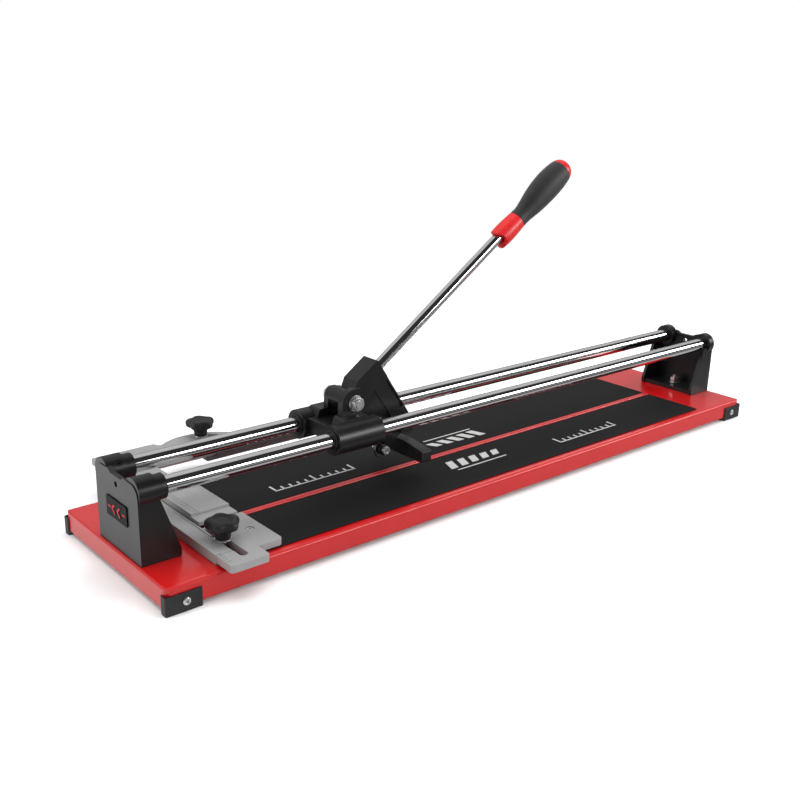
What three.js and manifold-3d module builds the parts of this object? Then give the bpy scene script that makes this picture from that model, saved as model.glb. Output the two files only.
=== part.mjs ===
// A manual tile cutter: a folded steel bed, two guide rods on end brackets, a sliding carriage with
// a scoring and breaking lever, a front stop that slides across the bed and a rear mitre fence.
// Millimetres, +X along the bed, +Y to the rear, +Z up. The origin is under the middle of the
// whole tool's bounding box, on the surface that the feet stand on.
import * as THREE from "three";
import { mergeVertices } from "three/addons/utils/BufferGeometryUtils.js";
import Module from "manifold-3d";

const wasm = await Module();
wasm.setup();

// ---------------------------------------------------------------- driving dimensions
// Bed: a tray folded from sheet, open underneath.
const BED_LENGTH = 1030;
const BED_WIDTH = 244;
const BED_DEPTH = 24;
const BED_SHEET = 2;
const BED_BEND_RADIUS = 3.5;
const BED_CORNER_RADIUS = 8;
const FOOT_DROP = 5.5;

// Guide rods and their brackets. The cutting line lies in front of the bed's middle.
const CUT_LINE_OFFSET = -14.5;
const ROD_RADIUS = 10;
const ROD_SPACING = 72;
const ROD_HEIGHT = 79.5;
const BRACKET_WIDTH = 99;
const BRACKET_HEIGHT = 90;
const BRACKET_DEPTH = 47;
const BRACKET_WALL = 6;
const BRACKET_CORNER_RADIUS = 14;
const BOSS_RADIUS = 16.5;
const LEFT_BOSS_LENGTH = 23;
const RIGHT_BOSS_LENGTH = 13;
const COLLAR_RADIUS = 14;
const COLLAR_LENGTH = 12;

// Mats and breaking rib.
const MAT_THICKNESS = 1.5;
const MAT_END_MARGIN = 104;
const MAT_SIDE_MARGIN = 10;
const RIB_WIDTH = 8;
const RIB_HEIGHT = 2.6;
const RIB_CHANNEL = 13;

// Carriage and lever. LEVER_PITCH is the lever's angle above level at rest.
const CARRIAGE_X = -223;
const SLEEVE_LENGTH = 68;
const SLEEVE_RADIUS = 18.5;
const BUSH_WALL = 3;
const PIVOT_X = -212;
const PIVOT_LIFT = 34.5;
const PIVOT_HEIGHT = ROD_HEIGHT + PIVOT_LIFT;
const PIVOT_BOLT_RADIUS = 5;
const FRONT_EAR_RADIUS = 18;
const REAR_EAR_RADIUS = 11.5;
const HUB_RADIUS = 13.5;
const EAR_THICKNESS = 9;
const HEAD_THICKNESS = 27;
const LEVER_PITCH = 35.1;
const LEVER_ROD_RADIUS = 7;
const LEVER_ROD_END = 306;
const GRIP_LENGTH = 157;
const SOCKET_LENGTH = 60;
const SOCKET_WIDTH = 28.5;
const LEG_WIDTH = 25;
const LEG_REACH = PIVOT_HEIGHT - 6;
const WHEEL_RADIUS = 12.5;
const WHEEL_THICKNESS = 3;
const AXLE_RADIUS = 3;
const AXLE_ALONG = 4.5;
const AXLE_ACROSS = 14 - PIVOT_HEIGHT;
const BREAKER_SPAN = 99;
const BREAKER_BAR = 17;

// Front stop: a rail across the bed, a graduated block and a slotted slide held by a knob.
const RAIL_X = 77 - BED_LENGTH / 2;
const RAIL_WIDTH = 20;
const RAIL_HEIGHT = 12;
const RAIL_FRONT = -106;
const RAIL_REAR = 70;
const BLOCK_WIDTH = 49;
const BLOCK_HEIGHT = 20;
const BLOCK_FRONT = -35;
const STOP_FRONT = -138;
const STOP_LENGTH = 98;
const STOP_WIDTH = 47;
const STOP_THICKNESS = 8.7;
const STOP_SLOT_WIDTH = 10;
const STOP_SLOT_LENGTH = 82;
const JAW_WIDTH = 33;
const JAW_LENGTH = 85;
const KNOB_RADIUS = 20;
const KNOB_HEIGHT = 11.5;
const KNOB_NECK = 10.5;
const KNOB_LOBES = 5;
const STUD_RADIUS = 4;
const FRONT_KNOB_Y = -78;

// Rear mitre fence: a plate behind the bed with an arc slot, and an arm that swings under it.
const PLATE_LEFT = 75 - BED_LENGTH / 2;
const PLATE_FRONT = 151;
const PLATE_DEPTH = 66;
const PLATE_TONGUE = 92;
const PLATE_BOTTOM = 8;
const PLATE_THICKNESS = 8;
const MITRE_X = 212 - BED_LENGTH / 2;
const MITRE_Y = 150;
const MITRE_RADIUS = 72;
const MITRE_SLOT_RADIUS = 53;
const MITRE_SLOT_WIDTH = 9;
const MITRE_KNOB_ANGLE = 73;
const MITRE_SWING = 45;
const ARM_LENGTH = 150;
const ARM_WIDTH = 14;
const ARM_THICKNESS = 3.5;
const ARM_HEIGHT = 14;

// Running and seating clearances between neighbours.
const SEAT_GAP = 0.3;
const RUN_GAP = 0.5;
const SIDE_GAP = 1;

// ---------------------------------------------------------------- shared places
const BED_TOP = BED_DEPTH + FOOT_DROP;
const ROD_Z = BED_TOP + ROD_HEIGHT;
const ROD_Y = [CUT_LINE_OFFSET - ROD_SPACING / 2, CUT_LINE_OFFSET + ROD_SPACING / 2];
const END_X = BED_LENGTH / 2 - BED_BEND_RADIUS;
const PIVOT_Z = BED_TOP + PIVOT_HEIGHT;
const STACK_Z = BED_TOP + SEAT_GAP;
const STOP_Z = BED_TOP + RAIL_HEIGHT - STOP_THICKNESS;
const PLATE_Z = BED_TOP + PLATE_BOTTOM;
const FRONT_KNOB_X = RAIL_X + RAIL_WIDTH / 2 + STOP_SLOT_WIDTH / 2 + 0.5;

// ---------------------------------------------------------------- finishes
function finish(color, roughness, metalness) {
  return new THREE.MeshStandardMaterial({ color, roughness, metalness });
}

const RED_PAINT = finish(0xc8181b, 0.3, 0.1);
const BLACK_CASTING = finish(0x1b1b1c, 0.45, 0.2);
const GREY_PAINT = finish(0x4c4f51, 0.45, 0.3);
const BLACK_MAT = finish(0x1d1f20, 0.85, 0);
const CHROME = finish(0xe2e4e6, 0.08, 1);
const BRIGHT_STEEL = finish(0xb9bbbd, 0.3, 1);
const CAST_ALUMINIUM = finish(0xb4b5b6, 0.5, 0.6);
const BLACK_PLASTIC = finish(0x202122, 0.5, 0);
const BLACK_RUBBER = finish(0x262728, 0.7, 0);
const RED_PLASTIC = finish(0xd0202a, 0.4, 0);
const CARBIDE = finish(0x8d9094, 0.25, 1);

// ---------------------------------------------------------------- solids
function solid(geometry) {
  const bare = geometry.index ? geometry.toNonIndexed() : geometry.clone();
  bare.deleteAttribute("normal");
  bare.deleteAttribute("uv");
  const merged = mergeVertices(bare, 1e-4);
  return new wasm.Manifold(
    new wasm.Mesh({
      numProp: 3,
      vertProperties: new Float32Array(merged.attributes.position.array),
      triVerts: new Uint32Array(merged.index.array),
    }),
  );
}

function geometryOf(body) {
  const mesh = body.getMesh();
  const geometry = new THREE.BufferGeometry();
  geometry.setAttribute("position", new THREE.BufferAttribute(mesh.vertProperties, 3));
  geometry.setIndex(new THREE.BufferAttribute(mesh.triVerts, 1));
  geometry.computeVertexNormals();
  return geometry;
}

const cutter = new THREE.Group();

function place(name, body, material, parent = cutter) {
  const mesh = new THREE.Mesh(geometryOf(body), material);
  mesh.name = name;
  parent.add(mesh);
  return mesh;
}

function join(...bodies) {
  return bodies.reduce((whole, body) => whole.add(body));
}

function cut(body, ...tools) {
  return tools.reduce((rest, tool) => rest.subtract(tool), body);
}

function box(x0, x1, y0, y1, z0, z1) {
  const geometry = new THREE.BoxGeometry(x1 - x0, y1 - y0, z1 - z0);
  return solid(geometry.translate((x0 + x1) / 2, (y0 + y1) / 2, (z0 + z1) / 2));
}

// Number of sides that keeps a round piece smooth enough for its size.
function sides(radius) {
  return Math.max(12, 4 * Math.round(2.2 * Math.sqrt(radius)));
}

function rodX(radius, x0, x1, y, z, count = sides(radius)) {
  const geometry = new THREE.CylinderGeometry(radius, radius, x1 - x0, count);
  return solid(geometry.rotateZ(Math.PI / 2).translate((x0 + x1) / 2, y, z));
}

function rodY(radius, y0, y1, x, z, count = sides(radius)) {
  const geometry = new THREE.CylinderGeometry(radius, radius, y1 - y0, count);
  return solid(geometry.translate(x, (y0 + y1) / 2, z));
}

function rodZ(radius, z0, z1, x, y, count = sides(radius)) {
  const geometry = new THREE.CylinderGeometry(radius, radius, z1 - z0, count);
  return solid(geometry.rotateX(Math.PI / 2).translate(x, y, (z0 + z1) / 2));
}

// A hexagonal bar along Y, Z or X, for nuts and bolt heads.
function hexY(across, y0, y1, x, z) {
  return rodY(across / Math.sqrt(3), y0, y1, x, z, 6);
}

function hexZ(across, z0, z1, x, y) {
  return rodZ(across / Math.sqrt(3), z0, z1, x, y, 6);
}

// A closed outline from corners [a, b, radius]; each corner with a radius is a true arc.
function outline(corners) {
  const shape = new THREE.Shape();
  corners.forEach(([a, b, radius = 0], i) => {
    const [pa, pb] = corners[(i + corners.length - 1) % corners.length];
    const [na, nb] = corners[(i + 1) % corners.length];
    const go = i === 0 ? "moveTo" : "lineTo";
    if (!radius) {
      shape[go](a, b);
      return;
    }
    const back = new THREE.Vector2(pa - a, pb - b).normalize();
    const ahead = new THREE.Vector2(na - a, nb - b).normalize();
    const half = Math.acos(THREE.MathUtils.clamp(back.dot(ahead), -1, 1)) / 2;
    const reach = radius / Math.tan(half);
    const middle = back.clone().add(ahead).normalize().multiplyScalar(radius / Math.sin(half));
    const [ca, cb] = [a + middle.x, b + middle.y];
    const start = [a + back.x * reach, b + back.y * reach];
    const end = [a + ahead.x * reach, b + ahead.y * reach];
    shape[go](...start);
    shape.absarc(
      ca,
      cb,
      radius,
      Math.atan2(start[1] - cb, start[0] - ca),
      Math.atan2(end[1] - cb, end[0] - ca),
      back.cross(ahead) > 0,
    );
  });
  return shape;
}

function slabFrom(shape, depth, curveSegments) {
  return new THREE.ExtrudeGeometry(shape, { depth, bevelEnabled: false, curveSegments });
}

// Plan outline (x, y) between two heights.
function slabZ(corners, z0, z1, curveSegments = 6) {
  return solid(slabFrom(outline(corners), z1 - z0, curveSegments).translate(0, 0, z0));
}

// Side outline (x, z) between two places along Y.
function slabY(corners, y0, y1, curveSegments = 6) {
  const geometry = slabFrom(outline(corners), y1 - y0, curveSegments);
  return solid(geometry.rotateX(Math.PI / 2).translate(0, y1, 0));
}

// End outline (y, z) between two places along X.
function slabX(corners, x0, x1, curveSegments = 6) {
  const turn = new THREE.Matrix4().set(0, 0, 1, x0, 1, 0, 0, 0, 0, 1, 0, 0, 0, 0, 0, 1);
  return solid(slabFrom(outline(corners), x1 - x0, curveSegments).applyMatrix4(turn));
}

function rectangle(a0, a1, b0, b1, radius = 0) {
  return [
    [a0, b0, radius],
    [a1, b0, radius],
    [a1, b1, radius],
    [a0, b1, radius],
  ];
}

// ---------------------------------------------------------------- bed
function trayShell(inset) {
  const halfLength = BED_LENGTH / 2 - inset;
  const halfWidth = BED_WIDTH / 2 - inset;
  const top = BED_TOP - inset;
  const bend = BED_BEND_RADIUS - inset;
  const bottom = BED_TOP - BED_DEPTH - (inset > 0 ? 1 : 0);
  const across = slabX(
    [
      [-halfWidth, bottom],
      [halfWidth, bottom],
      [halfWidth, top, bend],
      [-halfWidth, top, bend],
    ],
    -halfLength - 1,
    halfLength + 1,
    4,
  );
  const along = slabY(
    [
      [-halfLength, bottom],
      [halfLength, bottom],
      [halfLength, top, bend],
      [-halfLength, top, bend],
    ],
    -halfWidth - 1,
    halfWidth + 1,
    4,
  );
  const corner = BED_CORNER_RADIUS - inset;
  const plan = slabZ(
    rectangle(-halfLength, halfLength, -halfWidth, halfWidth, corner),
    bottom - 1,
    top + 1,
    4,
  );
  return across.intersect(along).intersect(plan);
}

const FOOT_RIVET_RADIUS = 2.4;
const FOOT_RIVET_INSET = 22;
const FOOT_RIVET_Z = BED_TOP - 18;
const BRACKET_BOLT_RADIUS = 4;
const BRACKET_BOLT_INSET = 27;

function bracketBoltX(side) {
  return side * (BED_LENGTH / 2 - BRACKET_BOLT_INSET);
}

function buildBed() {
  let tray = trayShell(0).subtract(trayShell(BED_SHEET));
  for (const side of [-1, 1]) {
    const bolt = rodZ(
      BRACKET_BOLT_RADIUS + SEAT_GAP,
      BED_TOP - BED_SHEET - 1,
      BED_TOP + 1,
      bracketBoltX(side),
      CUT_LINE_OFFSET,
    );
    tray = tray.subtract(bolt);
    const rivetX = side * (BED_LENGTH / 2 - FOOT_RIVET_INSET);
    for (const rivetY of [-BED_WIDTH / 2, BED_WIDTH / 2]) {
      const hole = rodY(
        FOOT_RIVET_RADIUS + SEAT_GAP,
        rivetY - BED_SHEET - 1,
        rivetY + BED_SHEET + 1,
        rivetX,
        FOOT_RIVET_Z,
      );
      tray = tray.subtract(hole);
    }
  }
  place("bed_tray", tray, RED_PAINT);

  const halfMat = BED_LENGTH / 2 - MAT_END_MARGIN;
  place(
    "breaking_rib",
    slabX(
      [
        [CUT_LINE_OFFSET - RIB_WIDTH / 2, STACK_Z],
        [CUT_LINE_OFFSET + RIB_WIDTH / 2, STACK_Z],
        [CUT_LINE_OFFSET + RIB_WIDTH / 2, BED_TOP + RIB_HEIGHT, 2],
        [CUT_LINE_OFFSET - RIB_WIDTH / 2, BED_TOP + RIB_HEIGHT, 2],
      ],
      -halfMat,
      halfMat,
      4,
    ),
    RED_PAINT,
  );
  const mats = {
    front_mat: [-BED_WIDTH / 2 + MAT_SIDE_MARGIN, CUT_LINE_OFFSET - RIB_CHANNEL / 2],
    rear_mat: [CUT_LINE_OFFSET + RIB_CHANNEL / 2, BED_WIDTH / 2 - MAT_SIDE_MARGIN],
  };
  for (const [name, [y0, y1]] of Object.entries(mats)) {
    const body = slabZ(
      rectangle(-halfMat, halfMat, y0, y1, 2),
      STACK_Z,
      BED_TOP + MAT_THICKNESS,
      3,
    );
    place(name, body, BLACK_MAT);
  }
}

const FOOT_LENGTH = 43;
const FOOT_OUTSIDE = 2;
const FOOT_WRAP = 11;
const FOOT_TOP = BED_TOP - 8;

// A corner foot wraps the front or rear flange and the end flange, and carries their lower edges.
function buildFoot(name, endSide, frontSide) {
  const endX = endSide * (BED_LENGTH / 2 + FOOT_OUTSIDE);
  const innerX = endSide * (BED_LENGTH / 2 + FOOT_OUTSIDE - FOOT_LENGTH);
  const outerY = frontSide * (BED_WIDTH / 2 + FOOT_OUTSIDE);
  const innerY = frontSide * (BED_WIDTH / 2 + FOOT_OUTSIDE - FOOT_WRAP);
  const block = slabZ(
    rectangle(
      Math.min(endX, innerX),
      Math.max(endX, innerX),
      Math.min(outerY, innerY),
      Math.max(outerY, innerY),
      2,
    ),
    0,
    FOOT_TOP,
    3,
  );
  const recess = box(
    endSide > 0 ? innerX - 2 : -BED_LENGTH / 2 - SEAT_GAP,
    endSide > 0 ? BED_LENGTH / 2 + SEAT_GAP : innerX + 2,
    frontSide > 0 ? innerY - 2 : -BED_WIDTH / 2 - SEAT_GAP,
    frontSide > 0 ? BED_WIDTH / 2 + SEAT_GAP : innerY + 2,
    FOOT_DROP - SEAT_GAP,
    FOOT_TOP + 1,
  );
  const rivetX = endSide * (BED_LENGTH / 2 - FOOT_RIVET_INSET);
  const flangeY = frontSide * (BED_WIDTH / 2);
  const faceY = outerY;
  const bore = rodY(
    FOOT_RIVET_RADIUS + SEAT_GAP,
    Math.min(flangeY, faceY) - 1,
    Math.max(flangeY, faceY) + 1,
    rivetX,
    FOOT_RIVET_Z,
  );
  place(name + "_foot", cut(block, recess, bore), BLACK_PLASTIC);

  const away = frontSide;
  const span = (a, b) => [Math.min(away * a, away * b), Math.max(away * a, away * b)];
  const half = BED_WIDTH / 2;
  const face = half + FOOT_OUTSIDE + SEAT_GAP;
  const shank = rodY(FOOT_RIVET_RADIUS, ...span(half - 4.5, face + 0.5), rivetX, FOOT_RIVET_Z);
  const head = rodY(4.6, ...span(face, face + 1.4), rivetX, FOOT_RIVET_Z, 20);
  const tail = rodY(3.8, ...span(half - 5, half - 2.3), rivetX, FOOT_RIVET_Z);
  const eye = rodY(1.2, ...span(face - 0.6, face + 2), rivetX, FOOT_RIVET_Z, 12);
  place(name + "_foot_rivet", cut(join(shank, head, tail), eye), BRIGHT_STEEL);
}

// ---------------------------------------------------------------- end brackets
// Built for the left end with the wall's outer face at x = 0, then mirrored for the right.
function bracketBody(bossLength, collarLength) {
  const half = BRACKET_WIDTH / 2;
  const y0 = CUT_LINE_OFFSET - half;
  const y1 = CUT_LINE_OFFSET + half;
  const z0 = STACK_Z;
  const z1 = BED_TOP + BRACKET_HEIGHT;
  const saddleDepth = 3.5;
  const saddleHalf = 12;
  const wall = slabX(
    [
      [y0, z0],
      [y1, z0],
      [y1, z1 - 1, BRACKET_CORNER_RADIUS],
      [CUT_LINE_OFFSET + saddleHalf + 6, z1],
      [CUT_LINE_OFFSET + saddleHalf, z1 - saddleDepth],
      [CUT_LINE_OFFSET - saddleHalf, z1 - saddleDepth],
      [CUT_LINE_OFFSET - saddleHalf - 6, z1],
      [y0, z1 - 1, BRACKET_CORNER_RADIUS],
    ],
    0,
    BRACKET_WALL,
    8,
  );
  const cheek = [
    [1, z0],
    [BRACKET_DEPTH, z0, 2],
    [BRACKET_DEPTH, z0 + 9, 4],
    [BRACKET_DEPTH * 0.5, ROD_Z - 4],
    [1, ROD_Z - 4],
  ];
  const cheekWall = BRACKET_WALL - 1;
  const parts = [
    wall,
    slabY(cheek, y0, y0 + cheekWall),
    slabY(cheek, y1 - cheekWall, y1),
    box(1, BRACKET_DEPTH - 3, y0 + 1, y1 - 1, z0, z0 + BRACKET_WALL),
  ];
  for (const y of ROD_Y) {
    parts.push(rodX(BOSS_RADIUS, 1, bossLength, y, ROD_Z));
    parts.push(rodX(COLLAR_RADIUS, 1, bossLength + collarLength, y, ROD_Z));
  }
  const holes = [
    rodX(3.4, -1, BRACKET_WALL + 1, CUT_LINE_OFFSET, ROD_Z - 2),
    rodZ(BRACKET_BOLT_RADIUS + SEAT_GAP, 0, z0 + 20, BRACKET_BOLT_INSET - BED_BEND_RADIUS,
      CUT_LINE_OFFSET),
  ];
  for (const y of ROD_Y) {
    holes.push(rodX(ROD_RADIUS + SEAT_GAP, BRACKET_WALL - 2, BRACKET_DEPTH + 1, y, ROD_Z));
    holes.push(setScrewAxis(rodZ(3.3, 0, 40, 0, 0), setScrewX(bossLength), y));
  }
  return cut(join(...parts), ...holes);
}

function setScrewX(bossLength) {
  return (BRACKET_WALL + bossLength) / 2 + 1;
}

// Set screws point at the rods' axes from between the bosses, tilted up.
const SET_SCREW_TILT = 50;

function setScrewAxis(body, x, y) {
  const inward = Math.sign(CUT_LINE_OFFSET - y);
  return body.rotate([-inward * SET_SCREW_TILT, 0, 0]).translate([x, y, ROD_Z]);
}

function mirroredX(body) {
  const mesh = body.getMesh();
  const points = Float32Array.from(mesh.vertProperties, (v, i) => (i % 3 === 0 ? -v : v));
  const faces = Uint32Array.from(mesh.triVerts);
  for (let i = 0; i < faces.length; i += 3) {
    [faces[i + 1], faces[i + 2]] = [faces[i + 2], faces[i + 1]];
  }
  return new wasm.Manifold(
    new wasm.Mesh({ numProp: 3, vertProperties: points, triVerts: faces }),
  );
}

function buildBrackets() {
  for (const [side, name, bossLength, collarLength] of [
    [-1, "left", LEFT_BOSS_LENGTH, COLLAR_LENGTH],
    [1, "right", RIGHT_BOSS_LENGTH, 0],
  ]) {
    const body = bracketBody(bossLength, collarLength);
    const end = new THREE.Group();
    end.position.x = side * END_X;
    cutter.add(end);
    place(name + "_bracket", side < 0 ? body : mirroredX(body), BLACK_CASTING, end);
    buildBracketBolt(name, bracketBoltX(side));
    ROD_Y.forEach((y, i) => {
      const x = side * (END_X - setScrewX(bossLength));
      const screwTop = BOSS_RADIUS - 0.8;
      const screw = setScrewAxis(
        cut(
          rodZ(3, ROD_RADIUS + SEAT_GAP, screwTop, 0, 0),
          rodZ(1.5, screwTop - 3, screwTop + 1, 0, 0, 6),
        ),
        x,
        y,
      );
      place(`${name}_${i ? "rear" : "front"}_set_screw`, screw, BRIGHT_STEEL);
    });
  }
}

// A hexagon screw through the bracket floor and the bed, with a plain and a spring washer.
function buildBracketBolt(name, x) {
  const floorTop = STACK_Z + BRACKET_WALL + SEAT_GAP;
  const washer = cut(
    join(
      rodZ(8.5, floorTop, floorTop + 1.6, x, CUT_LINE_OFFSET),
      rodZ(6.9, floorTop + 1.2, floorTop + 3.8, x, CUT_LINE_OFFSET),
    ),
    rodZ(BRACKET_BOLT_RADIUS + SEAT_GAP, floorTop - 1, floorTop + 9, x, CUT_LINE_OFFSET),
  );
  place(name + "_bracket_washers", washer, BRIGHT_STEEL);
  const headZ = floorTop + 3.8 + SEAT_GAP;
  const nutZ = BED_TOP - BED_SHEET - SEAT_GAP;
  const screw = join(
    rodZ(BRACKET_BOLT_RADIUS, nutZ - 9, headZ + 1, x, CUT_LINE_OFFSET),
    hexZ(13, headZ, headZ + 5.5, x, CUT_LINE_OFFSET),
    rodZ(BRACKET_BOLT_RADIUS, headZ + 4, headZ + 9, x, CUT_LINE_OFFSET),
    hexZ(13, nutZ - 6.5, nutZ, x, CUT_LINE_OFFSET),
  );
  place(name + "_bracket_screw", screw, BRIGHT_STEEL);
}

function buildRods() {
  const half = END_X - BRACKET_WALL + 2 - SEAT_GAP;
  ROD_Y.forEach((y, i) => {
    place(i ? "rear_rod" : "front_rod", rodX(ROD_RADIUS, -half, half, y, ROD_Z), CHROME);
  });
}

// A thin plate on the left bracket's outer face, with two raised chevrons.
function buildBadge() {
  const x1 = -END_X - SEAT_GAP;
  const x0 = x1 - 1;
  const z = BED_TOP + 47.5;
  const [halfY, halfZ] = [24, 11.5];
  const parts = [
    slabX(rectangle(CUT_LINE_OFFSET - halfY, CUT_LINE_OFFSET + halfY, z - halfZ, z + halfZ, 1.5),
      x0, x1, 3),
  ];
  for (const shift of [-6, 6]) {
    const y = CUT_LINE_OFFSET + shift;
    const chevron = [
      [y - 5, z - 6],
      [y - 1, z - 6],
      [y + 5, z],
      [y - 1, z + 6],
      [y - 5, z + 6],
      [y + 1, z],
    ];
    parts.push(slabX(chevron, x0 - 0.5, x0 + 0.2));
  }
  place("end_badge", join(...parts), BLACK_PLASTIC);
}

// ---------------------------------------------------------------- carriage
const EAR_Y = [
  [CUT_LINE_OFFSET - HEAD_THICKNESS / 2 - SIDE_GAP - EAR_THICKNESS,
    CUT_LINE_OFFSET - HEAD_THICKNESS / 2 - SIDE_GAP],
  [CUT_LINE_OFFSET + HEAD_THICKNESS / 2 + SIDE_GAP,
    CUT_LINE_OFFSET + HEAD_THICKNESS / 2 + SIDE_GAP + EAR_THICKNESS],
];

function buildCarriage() {
  const x0 = CARRIAGE_X - SLEEVE_LENGTH / 2;
  const x1 = CARRIAGE_X + SLEEVE_LENGTH / 2;
  const bore = ROD_RADIUS + RUN_GAP / 2 + BUSH_WALL + SEAT_GAP;
  const parts = ROD_Y.map((y) => rodX(SLEEVE_RADIUS, x0, x1, y, ROD_Z));
  // Web between the sleeves: a bridge left of the lever's leg, open to the right of it.
  parts.push(box(x0 + 6, PIVOT_X + 14, ROD_Y[0], ROD_Y[1], ROD_Z - 6, ROD_Z + 11));
  EAR_Y.forEach(([a, b], i) => {
    const radius = i ? REAR_EAR_RADIUS : FRONT_EAR_RADIUS;
    const ear = [
      [PIVOT_X - radius - 3, ROD_Z],
      [PIVOT_X + radius + 5, ROD_Z],
      [PIVOT_X + radius + 0.1, PIVOT_Z + radius, radius],
      [PIVOT_X - radius - 0.1, PIVOT_Z + radius, radius],
    ];
    parts.push(slabY(ear, a, b, 8));
  });
  // Raised ledge under the nut on the front ear.
  const earFace = EAR_Y[0][0];
  parts.push(
    box(PIVOT_X - 10, PIVOT_X + 9, earFace - 1.5, earFace + 1, PIVOT_Z - 15, PIVOT_Z - 12.5),
  );
  // Cheeks that run from each ear down on to its sleeve.
  const cheek = [
    [x0 + 12, ROD_Z],
    [x1 - 6, ROD_Z],
    [x1 - 12, ROD_Z + SLEEVE_RADIUS + 3, 4],
    [x0 + 20, ROD_Z + SLEEVE_RADIUS + 3, 4],
  ];
  parts.push(slabY(cheek, ROD_Y[0], EAR_Y[0][1]));
  parts.push(slabY(cheek, EAR_Y[1][0], ROD_Y[1]));
  const holes = ROD_Y.map((y) => rodX(bore, x0 - 1, x1 + 1, y, ROD_Z));
  holes.push(
    rodY(PIVOT_BOLT_RADIUS + SEAT_GAP, EAR_Y[0][0] - 1, EAR_Y[1][1] + 1, PIVOT_X, PIVOT_Z),
  );
  holes.push(
    rodY(11, EAR_Y[0][0] - 1, EAR_Y[0][0] + 1.5, PIVOT_X, PIVOT_Z),
  );
  // Room for the lever head's hub to turn between the ears.
  holes.push(
    rodY(HUB_RADIUS + 3, EAR_Y[0][1], EAR_Y[1][0], PIVOT_X, PIVOT_Z),
  );
  place("carriage_body", cut(join(...parts), ...holes), BLACK_CASTING);

  ROD_Y.forEach((y, row) => {
    [x0, x1].forEach((x, end) => {
      const inward = end ? -1 : 1;
      const from = x - inward * 1.5;
      const to = x + inward * 20;
      const bush = cut(
        rodX(bore - SEAT_GAP, Math.min(from, to), Math.max(from, to), y, ROD_Z),
        rodX(ROD_RADIUS + RUN_GAP / 2, Math.min(from, to) - 1, Math.max(from, to) + 1, y, ROD_Z),
      );
      place(`${row ? "rear" : "front"}_${end ? "right" : "left"}_bush`, bush, BLACK_PLASTIC);
    });
  });

  // Pivot bolt along Y, its nut and washer in the front ear's recess.
  const boltFront = EAR_Y[0][0] - 9;
  const boltRear = EAR_Y[1][1] + SEAT_GAP;
  place(
    "pivot_bolt",
    join(
      rodY(PIVOT_BOLT_RADIUS, boltFront, boltRear + 2, PIVOT_X, PIVOT_Z),
      hexY(17, boltRear, boltRear + 6.5, PIVOT_X, PIVOT_Z),
    ),
    BRIGHT_STEEL,
  );
  const seat = EAR_Y[0][0] + 1.5 - SEAT_GAP;
  const pinHole = rodY(PIVOT_BOLT_RADIUS + SEAT_GAP, seat - 12, seat + 1, PIVOT_X, PIVOT_Z);
  place(
    "pivot_washer",
    cut(rodY(10, seat - 2, seat, PIVOT_X, PIVOT_Z), pinHole),
    BRIGHT_STEEL,
  );
  place(
    "pivot_nut",
    cut(
      join(
        hexY(17, seat - 8, seat - 2 - SEAT_GAP, PIVOT_X, PIVOT_Z),
        rodY(7.6, seat - 9.5, seat - 7.5, PIVOT_X, PIVOT_Z),
      ),
      pinHole,
    ),
    BRIGHT_STEEL,
  );
}

// ---------------------------------------------------------------- lever
// Pieces of the lever are drawn in the lever's own frame, with the pivot at the origin, +X along
// the lever rod, and the whole group pitched up to LEVER_PITCH.
const lever = new THREE.Group();
lever.position.set(PIVOT_X, CUT_LINE_OFFSET, PIVOT_Z);
lever.rotation.y = -THREE.MathUtils.degToRad(LEVER_PITCH);
cutter.add(lever);

const HEAD_HALF = HEAD_THICKNESS / 2;
const SOCKET_ACROSS = -2;
const ROD_ACROSS = -4;
const LEG_LEFT = SOCKET_LENGTH - LEG_WIDTH;
const WEB_REACH = 55;

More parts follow.
